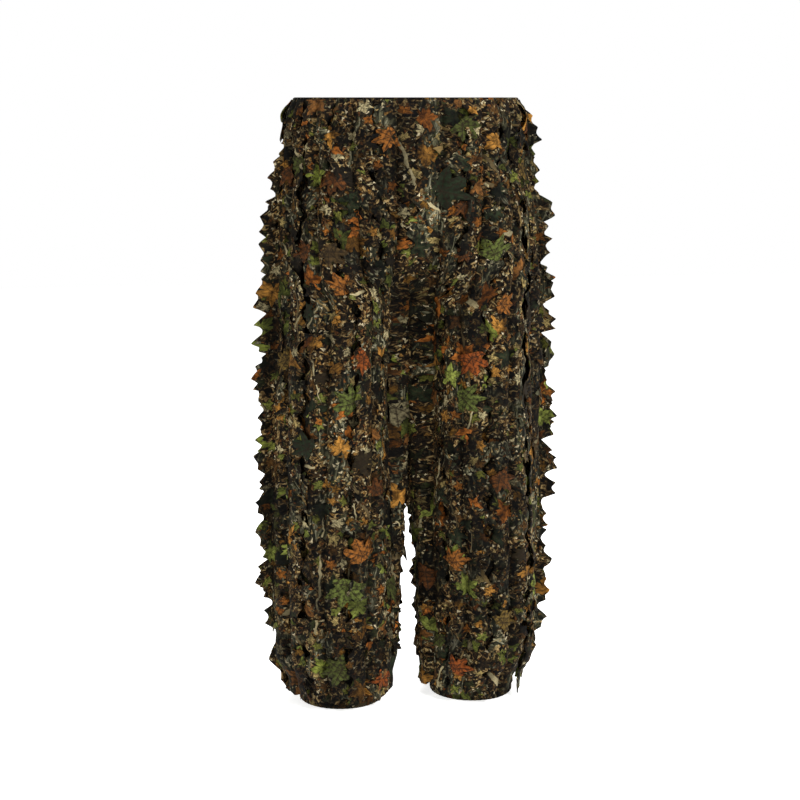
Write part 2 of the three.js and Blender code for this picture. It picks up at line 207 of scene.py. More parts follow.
def arcAt(quarter, down):
    shares = np.linspace(0, 1, arcPoints)
    line = surfaceAt(quarter, down[:, None], shares[None, :])[0]
    return np.linalg.norm(np.diff(line, axis=1), axis=2).sum(1)


def noiseOver(points, scale, seed):
    place = points.reshape(-1, 3) * np.array(scale) + seed
    return np.array([noise.noise(p) for p in place]).reshape(points.shape[:-1])


# Soft upright folds that the panels and the strips on them share, and the valley between the legs
drape = {
    "foldDepth": 0.02, "foldScale": (14.0, 14.0, 1.7), "foldBias": 0.35, "foldSeed": 3.1,
    "creaseDepth": 0.006, "creaseScale": (30, 30, 15), "creaseSeed": 7.7,
    "fadeIn": (0.035, 0.12), "fadeOut": (0.93, 0.985), "share": 0.8,
    "valleyDepth": 0.034, "valleyWidth": 0.095, "valleyFlat": 0.2, "valleyFront": (0.02, 0.06),
    "valleyStarts": (0.17, 0.34), "valleyEases": (0.55, 0.8), "valleyEase": 0.7,
}


def foldsAt(points, down):
    deep = np.clip(noiseOver(points, drape["foldScale"], drape["foldSeed"]) + drape["foldBias"], 0, 1)
    crease = np.abs(noiseOver(points, drape["creaseScale"], drape["creaseSeed"]))
    folds = deep * drape["foldDepth"] + crease * drape["creaseDepth"]
    x, y = np.abs(points[..., 0]), np.abs(points[..., 1])
    reach = drape["valleyWidth"]
    valley = drape["valleyDepth"] * (1 - smoothStep(drape["valleyFlat"] * reach, reach, x))
    valley = valley * smoothStep(*drape["valleyFront"], y) * smoothStep(*drape["valleyStarts"], down)
    valley = valley * (1 - drape["valleyEase"] * smoothStep(*drape["valleyEases"], down))
    folds = folds * smoothStep(*drape["fadeIn"], down) * (1 - smoothStep(*drape["fadeOut"], down))
    return -(folds + valley) * drape["share"]


# Meshes from grids of points
def meshFrom(name, vertices, faces, uvs, finish):
    data = bpy.data.meshes.new(name)
    data.from_pydata([tuple(v) for v in vertices], [], [tuple(f) for f in faces])
    layer = data.uv_layers.new(name="cloth")
    corners = np.array([loop.vertex_index for loop in data.loops])
    layer.data.foreach_set("uv", np.asarray(uvs, np.float32)[corners].ravel())
    piece = bpy.data.objects.new(name, data)
    scene.collection.objects.link(piece)
    data.materials.append(finish)
    data.shade_smooth()
    return piece


def gridPiece(name, points, uvs, finish, flip=False):
    rows, columns = points.shape[:2]
    a = np.arange(rows - 1)[:, None] * columns + np.arange(columns - 1)[None, :]
    b, c, d = a + 1, a + columns + 1, a + columns
    faces = np.stack([a, d, c, b] if flip else [a, b, c, d], -1).reshape(-1, 4)
    return meshFrom(name, points.reshape(-1, 3), faces, uvs.reshape(-1, 2), finish)


def selectOnly(piece):
    bpy.ops.object.select_all(action="DESELECT")
    bpy.context.view_layer.objects.active = piece
    piece.select_set(True)


def applyModifier(piece, name, kind, settings):
    modifier = piece.modifiers.new(name, kind)
    for key, value in settings.items():
        setattr(modifier, key, value)
    bpy.ops.object.modifier_apply(modifier=modifier.name)


def thicken(piece, thickness, offset=1.0):
    selectOnly(piece)
    applyModifier(piece, "clothThickness", "SOLIDIFY", {"thickness": thickness, "offset": offset})
    piece.select_set(False)


def weldDoubles(piece, distance=0.00002):
    selectOnly(piece)
    bpy.ops.object.mode_set(mode="EDIT")
    bpy.ops.mesh.select_all(action="SELECT")
    bpy.ops.mesh.remove_doubles(threshold=distance)
    bpy.ops.object.mode_set(mode="OBJECT")
    piece.select_set(False)


# Materials: startMaterial and newGroup set the node tree that the functions below add to
making = {"tree": None}


def link(value, socket):
    making["tree"].links.new(value, socket)


def addNode(kind, settings=None, inputs=None):
    node = making["tree"].nodes.new(kind)
    for key, value in (settings or {}).items():
        setattr(node, key, value)
    for key, value in (inputs or {}).items():
        if isinstance(value, bpy.types.NodeSocket):
            link(value, node.inputs[key])
        else:
            node.inputs[key].default_value = value
    return node


def compute(operation, *values):
    inputs = dict(enumerate(values))
    return addNode("ShaderNodeMath", {"operation": operation}, inputs).outputs[0]


def times(first, second):
    return compute("MULTIPLY", first, second)


def vectorCompute(operation, first, second):
    other = "Scale" if operation == "SCALE" else 1
    return addNode("ShaderNodeVectorMath", {"operation": operation}, {0: first, other: second}).outputs[0]


def splitVector(vector):
    return addNode("ShaderNodeSeparateXYZ", {}, {0: vector}).outputs


def noiseTexture(vector, scale, detail=2.0, rough=0.5, bend=0.0, dimensions="3D"):
    inputs = {"Vector": vector, "Scale": scale, "Detail": detail, "Roughness": rough, "Distortion": bend}
    return addNode("ShaderNodeTexNoise", {"noise_dimensions": dimensions}, inputs).outputs


def useGroup(group, inputs):
    return addNode("ShaderNodeGroup", {"node_tree": group}, inputs).outputs


def spread(value, low, high, newLow=0.0, newHigh=1.0):
    inputs = {"Value": value, "From Min": low, "From Max": high, "To Min": newLow, "To Max": newHigh}
    return addNode("ShaderNodeMapRange", {}, inputs).outputs[0]


def blendColor(factor, first, second, way="MIX"):
    node = addNode("ShaderNodeMix", {"data_type": "RGBA", "blend_type": way})
    for socket, value in ((node.inputs[0], factor), (node.inputs[6], first), (node.inputs[7], second)):
        if isinstance(value, bpy.types.NodeSocket):
            link(value, socket)
        else:
            socket.default_value = value
    return node.outputs[2]


def linear(hexColor):
    parts = [int(hexColor[i:i + 2], 16) / 255 for i in (1, 3, 5)]
    return tuple(p / 12.92 if p <= 0.04045 else ((p + 0.055) / 1.055) ** 2.4 for p in parts) + (1.0,)


def colorSteps(value, colors, smooth=False):
    node = addNode("ShaderNodeValToRGB", {}, {"Fac": value})
    ramp = node.color_ramp
    ramp.interpolation = "LINEAR" if smooth else "CONSTANT"
    while len(ramp.elements) < len(colors):
        ramp.elements.new(0.5)
    for i, color in enumerate(colors):
        ramp.elements[i].position = i / (len(colors) - 1) if smooth else i / len(colors)
        ramp.elements[i].color = linear(color)
    return node.outputs[0]


def newGroup(name, inputs, outputs):
    group = bpy.data.node_groups.new(name, "ShaderNodeTree")
    making["tree"] = group
    for socketName, kind, value in inputs:
        socket = group.interface.new_socket(socketName, in_out="INPUT", socket_type=f"NodeSocket{kind}")
        if value is not None:
            socket.default_value = value
    for socketName, kind in outputs:
        group.interface.new_socket(socketName, in_out="OUTPUT", socket_type=f"NodeSocket{kind}")
    start = group.nodes.new("NodeGroupInput")
    end = group.nodes.new("NodeGroupOutput")
    return group, start.outputs, end.inputs


# One lobed leaf in each cell of the print: how far its lobes and teeth reach, and its shadow and ribs
leafCell = {
    "jitter": 0.95, "core": 0.14, "lobe": 0.26, "tooth": 0.16, "teeth": 3.0, "sizes": (1.15, 0.75),
    "shadow": (-0.1, 0.02), "rib": (0.004, 0.022),
}


def buildLeafLayer():
    group, given, made = newGroup(
        "printedLeaves",
        [("Vector", "Vector", None), ("Scale", "Float", 20.0), ("Share", "Float", 0.5),
         ("Slimness", "Float", 1.0), ("Lobes", "Float", 5.0), ("Sharpness", "Float", 0.02)],
        [("Mask", "Float"), ("Shadow", "Float"), ("Vein", "Float"), ("Tint", "Float")])
    scaled = vectorCompute("SCALE", given["Vector"], given["Scale"])
    cells = addNode("ShaderNodeTexVoronoi", {"voronoi_dimensions": "2D"},
                    {"Vector": scaled, "Scale": 1.0, "Randomness": leafCell["jitter"]}).outputs
    local = vectorCompute("SUBTRACT", scaled, cells["Position"])
    chance = addNode("ShaderNodeSeparateColor", {}, {"Color": cells["Color"]}).outputs
    turned = addNode("ShaderNodeVectorRotate", {"rotation_type": "Z_AXIS"},
                     {"Vector": local, "Angle": times(chance[0], 2 * math.pi)}).outputs[0]
    parts = splitVector(turned)
    slim = times(parts[1], given["Slimness"])
    squared = compute("MULTIPLY_ADD", parts[0], parts[0], times(slim, slim))
    away = compute("SQRT", squared)
    angle = times(compute("ARCTAN2", slim, parts[0]), 1 / (2 * math.pi))
    lobePlace = times(angle, given["Lobes"])
    lobes = times(compute("PINGPONG", lobePlace, 0.5), 2.0)
    toothPlace = times(lobePlace, leafCell["teeth"])
    teeth = compute("PINGPONG", toothPlace, 0.5)
    reach = compute("MULTIPLY_ADD", teeth, leafCell["tooth"], leafCell["core"])
    reach = compute("MULTIPLY_ADD", lobes, leafCell["lobe"], reach)
    reach = times(reach, spread(chance[1], 0.0, 1.0, *leafCell["sizes"]))
    inside = compute("SUBTRACT", reach, away)
    shown = compute("LESS_THAN", chance[1], given["Share"])
    mask = spread(inside, 0.0, given["Sharpness"])
    shadow = spread(inside, *leafCell["shadow"])
    rib = times(compute("SUBTRACT", 1.0, lobes), away)
    vein = spread(rib, *leafCell["rib"], 1.0, 0.0)
    link(times(mask, shown), made["Mask"])
    link(times(shadow, shown), made["Shadow"])
    link(vein, made["Vein"])
    link(chance[2], made["Tint"])
    return group


weaveLook = {"threads": 1500.0, "crossing": 0.4, "slubScale": 260.0, "slubDetail": 3.0}


def buildWeave():
    group, given, made = newGroup(
        "clothWeave", [("Vector", "Vector", None), ("Threads", "Float", weaveLook["threads"])],
        [("Height", "Float"), ("Slub", "Float")])
    parts = splitVector(vectorCompute("SCALE", given["Vector"], given["Threads"]))
    warp = compute("ABSOLUTE", compute("SINE", parts[0]))
    weft = compute("ABSOLUTE", compute("SINE", parts[1]))
    diagonal = compute("SINE", compute("ADD", parts[0], parts[1]))
    over = times(diagonal, weaveLook["crossing"])
    slub = noiseTexture(given["Vector"], weaveLook["slubScale"], weaveLook["slubDetail"])[0]
    link(compute("ADD", times(warp, weft), over), made["Height"])
    link(slub, made["Slub"])
    return group


printColors = {
    "ground": ("#020100", "#080502", "#23180b", "#4d3c22", "#7a6744"),
    "bark": ("#070704", "#17170f", "#3f3d2c", "#7a7662"),
    "litter": ("#080502", "#33230f", "#5c421e", "#806c45", "#2c2c16", "#968a6e", "#4a2c12",
               "#0d0d07", "#7c7256"),
    "leaves": ("#653c14", "#38250e", "#44441a", "#6d4b1e", "#181b0c", "#6f603a", "#4b4e20", "#46300f",
               "#120d07", "#7c7254"),
    "heroes": ("#6e3f16", "#4c511f", "#513417", "#5c622b", "#745020", "#171c10", "#100d08"),
    "twigs": ("#5f563e", "#7f7558", "#3f3522", "#5a4a2c"),
    "shadow": (0.004, 0.003, 0.002, 1), "rib": (0.02, 0.012, 0.006, 1),
}
# Leaf layers of the print, from the smallest litter up: scale is in cells per metre of cloth, share is how
# many cells hold a leaf, and sharpness is how far the leaf's edge blurs
printLayers = {
    "crumbs": {"colors": "litter", "scale": 140.0, "share": 0.8, "slimness": 1.6, "lobes": 3.0,
               "shadow": 0.75, "vein": 0.0, "shift": 0.31, "sharpness": 0.1},
    "litter": {"colors": "litter", "scale": 90.0, "share": 0.7, "slimness": 2.1, "lobes": 3.0,
               "shadow": 0.85, "vein": 0.3, "shift": 1.13, "sharpness": 0.08},
    "leaves": {"colors": "leaves", "scale": 40.0, "share": 0.6, "slimness": 1.25, "lobes": 5.0,
               "shadow": 0.9, "vein": 0.6, "shift": 2.37, "sharpness": 0.03},
    "heroes": {"colors": "heroes", "scale": 20.0, "share": 0.42, "slimness": 1.0, "lobes": 5.0,
               "shadow": 0.9, "vein": 0.7, "shift": 3.91, "sharpness": 0.02},
}
# Twigs lie over the small leaves and under the large ones: scale, share, stretch and shift
printTwigs = {
    "layers": ((13.0, 0.55, 0.3, 0.77), (19.0, 0.45, 0.45, 4.19)),
    "slimness": 15.0, "sharpness": 0.05, "shadow": 0.6,
}
soilLook = {
    "noise": (120.0, 6.0, 0.66, 0.8), "shades": (0.4, 0.66), "barkStretch": (130.0, 36.0, 0.25),
    "barkNoise": (1.0, 6.0, 0.65, 1.0), "barkShades": (0.38, 0.7), "barkPlaces": (17.0, 8.0),
    "barkEdge": (0.52, 0.58), "wobbleScale": 55.0, "wobble": 0.009, "mottle": (0.35, 0.65, 0.25, 1.45),
    "patchPlaces": (13.0, 7.0), "patches": (0.38, 0.58, 0.26, 1.25),
}


def buildPrint(leafLayer):
    group, given, made = newGroup(
        "woodlandPrint", [("Vector", "Vector", None)], [("Color", "Color"), ("Relief", "Float")])
    place = given["Vector"]

    def noiseAt(vector, scale, detail=4.0, rough=0.55, bend=0.0):
        return noiseTexture(vector, scale, detail, rough, bend, "2D")[0]

    def stretched(across, along, turn=0.0):
        inputs = {"Vector": place, "Scale": (across, along, 1.0), "Rotation": (0, 0, turn)}
        return addNode("ShaderNodeMapping", {}, inputs).outputs[0]

    def leaves(under, colors, scale, share, slimness, lobes, shadow, vein, shift, sharpness):
        layer = useGroup(leafLayer, {
            "Vector": vectorCompute("ADD", warped, (shift, shift * 1.7, 0)), "Scale": scale,
            "Share": share, "Slimness": slimness, "Lobes": lobes, "Sharpness": sharpness})
        shade = times(layer["Shadow"], shadow)
        shaded = blendColor(shade, under, printColors["shadow"])
        tone = colorSteps(layer["Tint"], printColors[colors])
        tone = blendColor(times(layer["Vein"], vein), tone, printColors["rib"])
        mottle = spread(noiseAt(place, scale * 5.0, 4.0, 0.65), *soilLook["mottle"])
        tone = blendColor(1.0, tone, mottle, "MULTIPLY")
        return blendColor(layer["Mask"], shaded, tone), layer["Mask"]

    wobble = noiseTexture(place, soilLook["wobbleScale"], dimensions="2D")["Color"]
    offset = vectorCompute("SUBTRACT", wobble, (0.5, 0.5, 0.5))
    offset = vectorCompute("SCALE", offset, soilLook["wobble"])
    warped = vectorCompute("ADD", place, offset)

    soil = spread(noiseAt(place, *soilLook["noise"]), *soilLook["shades"])
    color = colorSteps(soil, printColors["ground"], smooth=True)
    grain = noiseAt(stretched(*soilLook["barkStretch"]), *soilLook["barkNoise"])
    streak = colorSteps(spread(grain, *soilLook["barkShades"]), printColors["bark"], smooth=True)
    barkMask = spread(noiseAt(stretched(*soilLook["barkPlaces"]), 1.0, 2.0), *soilLook["barkEdge"])
    color = blendColor(barkMask, color, streak)
    color, _ = leaves(color, **printLayers["crumbs"])
    color, _ = leaves(color, **printLayers["litter"])
    color, small = leaves(color, **printLayers["leaves"])
    for scale, share, stretch, shift in printTwigs["layers"]:
        drawn = addNode("ShaderNodeMapping", {}, {
            "Vector": warped, "Scale": (1.0, stretch, 1.0), "Location": (shift, shift, 0)}).outputs[0]
        twig = useGroup(leafLayer, {
            "Vector": drawn, "Scale": scale, "Share": share, "Slimness": printTwigs["slimness"], "Lobes": 1.0,
            "Sharpness": printTwigs["sharpness"]})
        shade = times(twig["Shadow"], printTwigs["shadow"])
        color = blendColor(shade, color, printColors["shadow"])
        color = blendColor(twig["Mask"], color, colorSteps(twig["Tint"], printColors["twigs"]))
    color, large = leaves(color, **printLayers["heroes"])
    patches = spread(noiseAt(stretched(*soilLook["patchPlaces"]), 1.0, 3.0, 0.6), *soilLook["patches"])
    color = blendColor(1.0, color, patches, "MULTIPLY")
    link(color, made["Color"])
    link(compute("MULTIPLY_ADD", small, 0.6, large), made["Relief"])
    return group


leafLayer = buildLeafLayer()
weave = buildWeave()
woodlandPrint = buildPrint(leafLayer)


def startMaterial(name, roughness, metallic=0.0, specular=0.25):
    finish = bpy.data.materials.new(name)
    finish.use_nodes = True
    making["tree"] = finish.node_tree
    shader = finish.node_tree.nodes["Principled BSDF"]
    shader.inputs["Roughness"].default_value = roughness
    shader.inputs["Metallic"].default_value = metallic
    shader.inputs["Specular IOR Level"].default_value = specular
    return finish, shader


# Links a value that wanders about 0.5, so that the finish is rougher in some places than others
def varyRoughness(shader, value, low, high):
    link(spread(value, 0.3, 0.7, low, high), shader.inputs["Roughness"])


def addBump(shader, height, distance, strength=0.6):
    bump = addNode("ShaderNodeBump", {}, {"Height": height, "Distance": distance, "Strength": strength})
    link(bump.outputs[0], shader.inputs["Normal"])


def clothPlace():
    return addNode("ShaderNodeUVMap", {"uv_map": "cloth"}).outputs[0]


# The base panels' copy of the print is painted darker than the strips' copy: painted shade in the gaps
# between and under the strips. The waistband, cuffs and fly shield wear the same darker copy.
clothLook = {
    "leafGain": 1.25, "baseShadeGain": 0.7, "roughness": 0.88, "rough": (0.78, 0.95), "specular": 0.1,
    "threads": 2600.0, "threadHeight": 0.25, "printHeight": 0.5, "bump": 0.0004, "fade": (0.8, 1.2),
}
# Tones of the cut leaves that carry no print: boldLeaves and leafCut's tints give their place in this list
leafTints = ("#7c3f18", "#825020", "#523015", "#604d24", "#3e431e", "#4f5728", "#1c2416", "#675f46", 
             "#3f311c", "#261f12")
leafMarks = {
    "patchScale": 60.0, "patchShades": (0.55, 1.35), "spotScale": 170.0, "spotEdge": (0.44, 0.58),
    "spotShare": 0.85, "spotColor": (0.01, 0.007, 0.004, 1), "veins": 7.2, "veinWidth": (0.0003, 0.0012),
    "veinShare": 0.75, "veinColor": (0.015, 0.009, 0.005, 1),
}


def printedCloth(name, gain):
    finish, shader = startMaterial(name, clothLook["roughness"], 0.0, clothLook["specular"])
    place = clothPlace()
    printed = useGroup(woodlandPrint, {"Vector": place})
    threads = useGroup(weave, {"Vector": place, "Threads": clothLook["threads"]})
    # The slub's random fade, times this copy's gain; the base copy's low gain is painted shade
    low, high = clothLook["fade"]
    fade = spread(threads["Slub"], 0.35, 0.65, low * gain, high * gain)
    color = blendColor(1.0, printed["Color"], fade, "MULTIPLY")
    link(color, shader.inputs["Base Color"])
    varyRoughness(shader, threads["Slub"], *clothLook["rough"])
    height = times(printed["Relief"], clothLook["printHeight"])
    height = compute("MULTIPLY_ADD", threads["Height"], clothLook["threadHeight"], height)
    addBump(shader, height, clothLook["bump"])
    return finish


def cutLeafCloth():
    finish, shader = startMaterial("cutLeafCloth", clothLook["roughness"], 0.0, clothLook["specular"])
    place = clothPlace()
    tint = addNode("ShaderNodeAttribute", {"attribute_name": "tint"}).outputs["Fac"]
    parts = splitVector(place)
    angle = compute("ARCTAN2", parts[0], parts[1])
    angle = times(angle, leafMarks["veins"] / (2 * math.pi))
    away = addNode("ShaderNodeVectorMath", {"operation": "LENGTH"}, {0: place}).outputs["Value"]
    rib = times(compute("PINGPONG", angle, 0.5), away)
    vein = spread(rib, *leafMarks["veinWidth"], leafMarks["veinShare"], 0.0)
    patch = noiseTexture(place, leafMarks["patchScale"], 3.0, 0.6)[0]
    spots = noiseTexture(place, leafMarks["spotScale"], 5.0, 0.6)[0]
    patch = spread(patch, 0.35, 0.65, *leafMarks["patchShades"])
    spots = spread(spots, *leafMarks["spotEdge"], 0.0, leafMarks["spotShare"])
    color = blendColor(1.0, colorSteps(tint, leafTints), patch, "MULTIPLY")
    color = blendColor(spots, color, leafMarks["spotColor"])
    color = blendColor(vein, color, leafMarks["veinColor"])
    link(color, shader.inputs["Base Color"])
    threads = useGroup(weave, {"Vector": place, "Threads": clothLook["threads"]})
    varyRoughness(shader, threads["Slub"], *clothLook["rough"])
    height = compute("MULTIPLY_ADD", threads["Height"], clothLook["threadHeight"], vein)
    addBump(shader, height, clothLook["bump"])
    return finish


leafCloth = printedCloth("leafPrintCloth", clothLook["leafGain"])
# The darker copy: painted shade for the base cloth that shows between the strips
shadedBaseCloth = printedCloth("shadedBasePrintCloth", clothLook["baseShadeGain"])
cutLeaf = cutLeafCloth()
print("cloth materials ready")

# Each trim weave: its colour, its darker colour that is painted into the grooves between the ribs as shade,
# ribs per metre and roughness
trimWeaves = {
    "elasticWeave": ("#3a3830", "#171612", 420.0, 0.82),
    "zipTapeWeave": ("#3b3728", "#1d1b14", 900.0, 0.88),
    "satinLabelWeave": ("#a5a08d", "#7d7867", 1400.0, 0.60),
}
zipLook = {
    "metal": "#3b3934", "worn": "#a29d90", "metalRough": (0.28, 0.55), "wornEdge": (0.52, 0.60),
    "coil": "#12110e", "coilPale": "#2c2a23", "coilRough": (0.30, 0.50),
}


def ribbedWeave(name):
    color, grooveShadeColor, rib, roughness = trimWeaves[name]
    finish, shader = startMaterial(name, roughness, 0.0, 0.1)
    place = clothPlace()
    threads = useGroup(weave, {"Vector": place, "Threads": rib * 2})
    ribs = addNode("ShaderNodeTexWave", {"bands_direction": "Y"},
                   {"Vector": place, "Scale": rib, "Distortion": 0.3, "Detail": 1.0}).outputs[1]
    # Painted shade: the grooves between the ribs take the darker colour, mixed with the slub's random tone
    shade = compute("MULTIPLY_ADD", ribs, 0.6, times(threads["Slub"], 0.4))
    link(blendColor(shade, linear(grooveShadeColor), linear(color)), shader.inputs["Base Color"])
    varyRoughness(shader, threads["Slub"], roughness - 0.12, roughness + 0.05)
    addBump(shader, compute("ADD", ribs, threads["Height"]), 0.0003)
    return finish


def wornMetal():
    finish, shader = startMaterial("zipMetalFinish", 0.42, 0.85)
    place = addNode("ShaderNodeTexCoord").outputs["Object"]
    patches = noiseTexture(place, 700.0, 5.0, 0.6)[0]
    edge = addNode("ShaderNodeNewGeometry").outputs["Pointiness"]
    scuffs = spread(patches, 0.6, 0.72, 0.0, 0.6)
    bright = compute("MAXIMUM", spread(edge, *zipLook["wornEdge"]), scuffs)
    color = blendColor(bright, linear(zipLook["metal"]), linear(zipLook["worn"]))
    link(color, shader.inputs["Base Color"])
    varyRoughness(shader, patches, *zipLook["metalRough"])
    addBump(shader, patches, 0.00004)
    return finish


def mouldedCoil():
    finish, shader = startMaterial("zipCoilNylon", 0.38)
    place = addNode("ShaderNodeTexCoord").outputs["Object"]
    patches = noiseTexture(place, 320.0, 3.0)[0]
    color = blendColor(patches, linear(zipLook["coil"]), linear(zipLook["coilPale"]))
    link(color, shader.inputs["Base Color"])
    varyRoughness(shader, patches, *zipLook["coilRough"])
    addBump(shader, patches, 0.00003)
    return finish


elasticWeave, zipTape, satinLabel = [ribbedWeave(name) for name in trimWeaves]
zipMetal = wornMetal()
zipCoil = mouldedCoil()
print("trim materials ready")

# Cloth panels under the strips. The front ones stop short of the middle down to the end of the fly.
panelCut = {
    "top": 0.0383, "bottom": 0.9937, "rows": 150, "columns": 40, "thickness": 0.0006, "sunk": 0.0008,
    "flyEdge": 0.007, "flyBottom": 0.1883, "flyEnd": 0.003, "edgeFade": 0.06, "middleFade": 0.1,
    "hemFade": 0.02, "pleats": 15, "pleatDepth": 0.0035, "gather": (0.9, 0.985), "printShift": 0.41,
}


def gathersAt(down, across):
    amount = smoothStep(*panelCut["gather"], down) * panelCut["pleatDepth"]
    return -amount * (0.5 + 0.5 * np.cos(across * panelCut["pleats"] * 2 * math.pi))


def buildPanel(quarter):
    x, y, face = quarters[quarter]
    down = np.linspace(panelCut["top"], panelCut["bottom"], panelCut["rows"])[:, None]
    across = np.linspace(0, 1, panelCut["columns"])[None, :]
    down, across = np.broadcast_arrays(down, across)
    edge = middleGap
    if face == "front":
        closed = smoothStep(panelCut["flyBottom"], panelCut["flyBottom"] + panelCut["flyEnd"], down)
        edge = middleGap + (panelCut["flyEdge"] - middleGap) * (1 - closed)
    points, out = surfaceAt(quarter, down, across, edge)
    fade = smoothStep(0.0, panelCut["edgeFade"], across) * smoothStep(0.0, panelCut["middleFade"], 1 - across)
    height = foldsAt(points, down) * fade + gathersAt(down, across)
    height = height * smoothStep(0.0, panelCut["hemFade"], panelCut["bottom"] - down) - panelCut["sunk"]
    points = points + out * height[..., None]
    arc = arcAt(quarter, down[:, 0])[:, None]
    uvs = np.stack([across * arc + panelCut["printShift"] * len(quarter), -down], -1)
    # The panels wear the darker copy of the print: painted shade where they show between the strips
    panel = gridPiece(f"clothPanel_{quarter}", points, uvs, shadedBaseCloth, flip=x * y > 0)
    thicken(panel, panelCut["thickness"])
    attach(panel, "trousers")
    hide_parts(f"{quarter}_panel")


for quarter in quarters:
    buildPanel(quarter)
print("panels ready")

# Leaf strips: each is sewn down its middle, and both its edges are cut into half leaves
stripCut = {
    "top": 0.003, "bottom": 1.006, "rowStep": 0.002, "thickness": 0.0005, "clearance": 0.0012, "perPanel": 4,
    "bulge": 0.0125, "topEdgeLift": 0.02, "underEdgeLift": 0.007, "overlap": 0.02,
    "leafShort": 0.046, "leafLong": 0.072, "leafGap": 0.003, "leafReach": (0.5, 1.0),
    "faceNotch": -0.009, "faceTip": 0.009, "sideNotch": 0.004, "sideTip": 0.027, "sideTuck": 0.004,
    "innerNotch": -0.002, "innerTip": 0.018, "innerTuck": 0.003, "sideLean": (1.0, 0.42, -0.12),
    "growLeft": 0.07, "growRight": 0.22, "drawnIn": (0.82, 0.93), "drawnShare": 0.8, "flyCover": (0.2, 0.26),
    "flyLift": 0.0135, "crossover": 0.003, "crotchLean": (0.6, 0.85, -0.15), "droop": 0.0035, "endLeaf": 0.02,
    "endNotch": 0.012, "endOver": 0.055, "ankleFollow": 0.9, "ankleLift": 0.004, "cuffDown": (0.972, 0.992),
    "flutter": (26, 24, 1), "wave": (18, 30, 1), "waveDepth": 0.5,
}
# One half of a lobed leaf's outline: how far along it each point is, and how far out it reaches
halfLeaves = (
    ((0.0, 0.0), (0.05, 0.12), (0.17, 0.72), (0.23, 0.6), (0.31, 0.56), (0.38, 0.78), (0.49, 1.0),
     (0.55, 0.78), (0.63, 0.58), (0.79, 0.8), (0.86, 0.46), (0.95, 0.08), (1.0, 0.0)),
    ((0.0, 0.0), (0.1, 0.38), (0.22, 0.8), (0.3, 0.62), (0.38, 0.56), (0.6, 1.0), (0.66, 0.8),
     (0.73, 0.52), (0.84, 0.6), (0.93, 0.1), (1.0, 0.0)),
    ((0.0, 0.0), (0.08, 0.24), (0.33, 1.0), (0.4, 0.74), (0.5, 0.6), (0.58, 0.66), (0.72, 0.88),
     (0.78, 0.56), (0.9, 0.14), (1.0, 0.0)),
)


def leafEdge(down, seed):
    chance = random.Random(seed)
    at, reach = [], []
    here = -chance.uniform(0.0, 0.05)
    while here < stripCut["bottom"] + 0.02:
        length = chance.uniform(stripCut["leafShort"], stripCut["leafLong"])
        amount = chance.uniform(*stripCut["leafReach"])
        outline = chance.choice(halfLeaves)
        if chance.random() < 0.5:
            outline = tuple((1 - share, r) for share, r in reversed(outline))
        for share, r in outline:
            at.append(here + share * length)
            reach.append(r * amount)
        here += length + stripCut["leafGap"]
    return np.interp(down, at, reach)


# Below the gathered ankle the strips hang only a little inwards
def backedAt(down):
    return np.clip(down, 0.0, gatherDown) + np.clip(down - gatherDown, 0, 1) * stripCut["ankleFollow"]


# s runs from 0 at the strip's seam to 1 at its free edge
def stripLift(s):
    seamDip = np.clip(s / 0.12, 0, 1)
    return stripCut["bulge"] * np.sin(np.pi * np.clip(s, 0, 1)) ** 0.7 * seamDip


def freeReach(edge, reach):
    notch, tip = stripCut[f"{edge}Notch"], stripCut[f"{edge}Tip"]
    return notch + (tip - notch) * reach


sideShares = np.array((0.0, 0.05, 0.14, 0.28, 0.44, 0.6, 0.74, 0.86, 0.94, 1.0))


